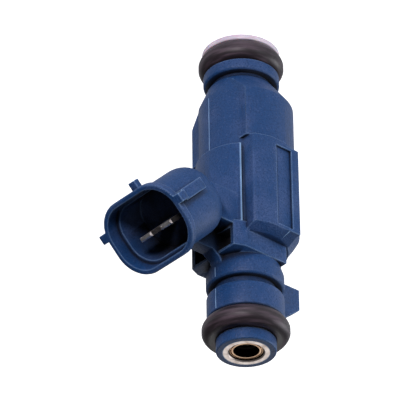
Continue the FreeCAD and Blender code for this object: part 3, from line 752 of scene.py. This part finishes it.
@dataclass
class MouldedBody(Assembly):
    """The blue moulding, with the fine lines that its mould's halves leave.

    A stretch of line holds its name, its distance from the axis and the heights of its two ends.
    """

    edge: float = 0.12 * MM
    edge_angle: float = math.radians(28)
    flat_angle: float = math.radians(0.6)
    weld: float = 0.001 * MM
    line_width: float = 0.16 * MM
    line_height: float = 0.05 * MM
    sunk: float = 0.04 * MM
    stretches: tuple[tuple[str, float, float, float], ...] = (
        ("barrel", 7.4 * MM, 9.2 * MM, 20.1 * MM),
        ("band", 6.5 * MM, 42.3 * MM, 44.1 * MM),
        ("shoulder", 6.45 * MM, 46.3 * MM, 50.0 * MM),
    )

    def shell(self) -> None:
        """Copy the housing with its sharp outer edges rounded, and put the copy in its place."""
        mesh = bmesh.new()
        mesh.from_mesh(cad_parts["housing"].data)
        bmesh.ops.remove_doubles(mesh, verts=mesh.verts[:], dist=self.weld)
        bmesh.ops.dissolve_limit(
            mesh, angle_limit=self.flat_angle, verts=mesh.verts[:], edges=mesh.edges[:])
        sharp = [
            edge for edge in mesh.edges if edge.is_convex and edge.calc_face_angle(0.0) > self.edge_angle]
        bmesh.ops.bevel(
            mesh, geom=sharp, offset=self.edge, offset_type="OFFSET", segments=2, profile=0.5,
            affect="EDGES", clamp_overlap=False, loop_slide=True)
        shell = self.add("housing_moulding", mesh, BLUE, "blue_nylon")
        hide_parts("housing")

    def mould_line(self, name: str, radius: float, bottom: float, top: float, side: int) -> None:
        """Build one raised line along the barrel.

        Args:
            name: Which stretch it is on.
            radius: How far out the surface is.
            bottom: Where the line begins.
            top: Where it ends.
            side: 1 on the connector's side, -1 on the back.
        """
        half = self.line_width / 2
        profile = [
            (-half, -self.sunk), (half, -self.sunk), (half / 2, self.line_height),
            (-half / 2, self.line_height)]
        mesh = bmesh.new()
        rows = [
            [mesh.verts.new((side * (radius + out), across, height)) for across, out in profile]
            for height in (bottom, top)]
        joined_rows(rows, mesh)
        mesh.faces.new(rows[0][::-1])
        mesh.faces.new(rows[1])
        label = "front" if side > 0 else "back"
        # The line's lighter blue is a painted highlight.
        self.add(f"mould_line_{name}_{label}", mesh, HIGHLIT_FLASH, "blue_nylon")

    def build(self) -> None:
        """Make the shell and its mould lines, and dress the inlet's collar."""
        self.shell()
        self.dress(BLUE, "inlet_collar")
        for stretch in self.stretches:
            for side in (1, -1):
                self.mould_line(*stretch, side)


@dataclass
class Seals(Assembly):
    """Both O-rings and the cap that keeps the lower one on."""

    def build(self) -> None:
        """Dress the seals and the cap."""
        self.dress(RUBBER, "upper_o_ring", "lower_o_ring")
        self.dress(CAP, "nozzle_cap")


@dataclass
class FuelPassage(Assembly):
    """What the fuel flows through: tube, filter, adjusting sleeve and valve body.

    Sizes are in millimetres. The groove holds its inner and outer distance from the axis.
    """

    ring_inner: float = 2.09
    ring_outer: float = 2.8
    ring_bottom: float = 53.2
    ring_top: float = 55.7
    groove: Span = (2.44, 2.66)
    groove_depth: float = 0.45
    lip: float = 0.08

    def filter_ring(self) -> None:
        """Turn the filter's press-in ring, with the groove between its two lips."""
        inner, outer = self.ring_inner, self.ring_outer
        start, end = self.groove
        top, deep = self.ring_top, self.ring_top - self.groove_depth
        profile = [
            (inner, self.ring_bottom), (outer, self.ring_bottom), (outer, top - self.lip),
            (outer - self.lip, top), (end, top), (end, deep), (start, deep), (start, top),
            (inner + self.lip, top), (inner, top - self.lip)]
        ring = self.add("filter_ring_turned", turned(profile), BRASS, "filter_brass")
        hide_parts("filter_ring")

    def build(self) -> None:
        """Turn the filter's ring, and dress the metal tubes and the filter."""
        self.dress(TUBE, "inlet_tube")
        self.dress(STEEL, "valve_body", "spacer_ring")
        self.filter_ring()
        self.dress(SLEEVE, "adjusting_sleeve")
        self.dress(SPOOL, "filter_cage")
        self.dress(CLOTH, "filter_mesh")


@dataclass
class Valve(Assembly):
    """Needle and ball, what they move against, and the armature and spring that move them."""

    def build(self) -> None:
        """Dress the valve's parts."""
        self.dress(STEEL, "valve_needle", "valve_seat", "guide_disc", "orifice_plate")
        self.dress(IRON, "armature")
        self.dress(BALL, "valve_ball")
        self.dress(SPRING, "return_spring")


@dataclass
class Magnet(Assembly):
    """Coil, its iron circuit and the contact blades."""

    def build(self) -> None:
        """Dress the coil, the iron and the blades."""
        self.dress(IRON, "magnet_shell", "magnet_cover")
        self.dress(SPOOL, "coil_spool")
        self.dress(COPPER, "coil_winding", "lead_left", "lead_right")
        self.dress(FILM, "coil_tape")
        self.dress(TIN, "terminal_left", "terminal_right")


# ---------------------------------------------------------------- studio


def direction(azimuth: float, elevation: float) -> Vector:
    """The way from the object to a place round it.

    Args:
        azimuth: The angle round the axis in radians, 0 on the -Y side and a right angle on +X.
        elevation: The angle above the floor in radians.

    Returns:
        A vector of length 1.
    """
    flat = math.cos(elevation)
    return Vector((math.sin(azimuth) * flat, -math.cos(azimuth) * flat, math.sin(elevation)))


@dataclass
class Softbox:
    """A square light that looks at the object; its angles are in degrees."""

    name: str
    azimuth: float
    elevation: float
    size: float
    power: float
    colour: Colour = WHITE
    distance: float = 0.5

    def place(self, centre: Vector) -> None:
        """Hang the light round a point.

        Args:
            centre: The point that it looks at.
        """
        lamp = bpy.data.lights.new(self.name, "AREA")
        lamp.size = self.size
        lamp.energy = self.power
        lamp.color = self.colour
        holder = bpy.data.objects.new(self.name, lamp)
        back = direction(math.radians(self.azimuth), math.radians(self.elevation))
        holder.location = centre + back * self.distance
        holder.rotation_mode = "QUATERNION"
        holder.rotation_quaternion = (-back).to_track_quat("-Z", "Y")
        bpy.context.scene.collection.objects.link(holder)


@dataclass
class Studio:
    """Pale floor, soft lights and the camera, which looks down on the inlet's end."""

    azimuth: float = math.radians(41.6)
    elevation: float = math.radians(29.86)
    roll: float = math.radians(181.11)
    distance: float = 0.56528
    lens: float = 311.72
    aim_right: float = -0.00758
    aim_up: float = 0.02494
    floor_size: float = 6.0
    floor_colour: Colour = (0.9, 0.9, 0.9)
    floor_dull: float = 0.9
    floor_glow: Colour = (0.97, 0.97, 0.97)
    floor_fill: Colour = (0.27, 0.28, 0.31)
    sky_colour: Colour = (0.98, 0.98, 1.0)
    sky_strength: float = 0.08
    lights: tuple[Softbox, ...] = (
        Softbox("key_softbox", azimuth=52, elevation=4, size=0.10, power=1.7, colour=(1.0, 0.92, 0.97)),
        Softbox("side_softbox", azimuth=-10, elevation=8, size=0.1, power=0.3, colour=(0.90, 0.96, 1.0)),
        Softbox("back_softbox", azimuth=222, elevation=34, size=0.36, power=0.5),
        Softbox("rim_softbox", azimuth=-66, elevation=16, size=0.14, power=1.2, colour=(0.93, 0.96, 1.0)),
    )

    def make_camera(self) -> None:
        """Put the camera above the inlet end, turned upside down, and aim it past the inlet's middle."""
        back = direction(self.azimuth, self.elevation)
        level = Vector((math.cos(self.azimuth), math.sin(self.azimuth), 0))
        upright = back.cross(level)
        right = level * math.cos(self.roll) - upright * math.sin(self.roll)
        up = level * math.sin(self.roll) + upright * math.cos(self.roll)
        inlet = Vector((0, 0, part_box("inlet_tube")[1].z))
        place = inlet + back * self.distance
        aim = inlet + right * self.aim_right + up * self.aim_up
        back = (place - aim).normalized()
        right = (right - back * right.dot(back)).normalized()
        up = back.cross(right)
        lens = bpy.data.cameras.new("camera")
        lens.lens = self.lens
        camera = bpy.data.objects.new("camera", lens)
        camera.matrix_world = Matrix.Translation(place) @ Matrix((right, up, back)).transposed().to_4x4()
        bpy.context.scene.collection.objects.link(camera)
        bpy.context.scene.camera = camera

    def make_floor(self) -> None:
        """Lay a pale floor under the nozzle's end.

        The camera sees it white, while it lights the object as a greyer floor would, so that the
        nylon stays dark.
        """
        mesh = bmesh.new()
        bmesh.ops.create_grid(mesh, x_segments=2, y_segments=2, size=self.floor_size / 2)
        data = bpy.data.meshes.new("floor")
        mesh.to_mesh(data)
        mesh.free()
        material = bpy.data.materials.new("floor_white")
        tree = Tree(material)
        seen = tree.node("ShaderNodeLightPath", output="Is Camera Ray")
        tree.finish(
            Base_Color=self.floor_colour, Roughness=self.floor_dull,
            Emission_Color=tree.blend(seen, self.floor_fill, self.floor_glow), Emission_Strength=1.0)
        data.materials.append(material)
        floor = bpy.data.objects.new("floor", data)
        floor.location.z = CAD_BOX[0].z
        bpy.context.scene.collection.objects.link(floor)

    def make_world(self) -> None:
        """Surround everything with faint white light."""
        world = bpy.data.worlds.new("studio")
        world.use_nodes = True
        sky = world.node_tree.nodes["Background"]
        sky.inputs["Color"].default_value = (*self.sky_colour, 1.0)
        sky.inputs["Strength"].default_value = self.sky_strength
        bpy.context.scene.world = world
        bpy.context.scene.view_settings.view_transform = "Standard"

    def build(self) -> None:
        """Set up the studio."""
        self.make_camera()
        self.make_floor()
        self.make_world()
        centre = (CAD_BOX[0] + CAD_BOX[1]) / 2
        for light in self.lights:
            light.place(centre)
        log.info("studio: camera, floor and %d lights", len(self.lights))


def main() -> None:
    """Build the studio and dress the injector, group by group."""
    logging.basicConfig(level=logging.INFO, format="%(message)s")
    Studio().build()
    for group in (MouldedBody(), Seals(), FuelPassage(), Valve(), Magnet()):
        group.build()
        group.report()


if __name__ == "__main__":
    main()
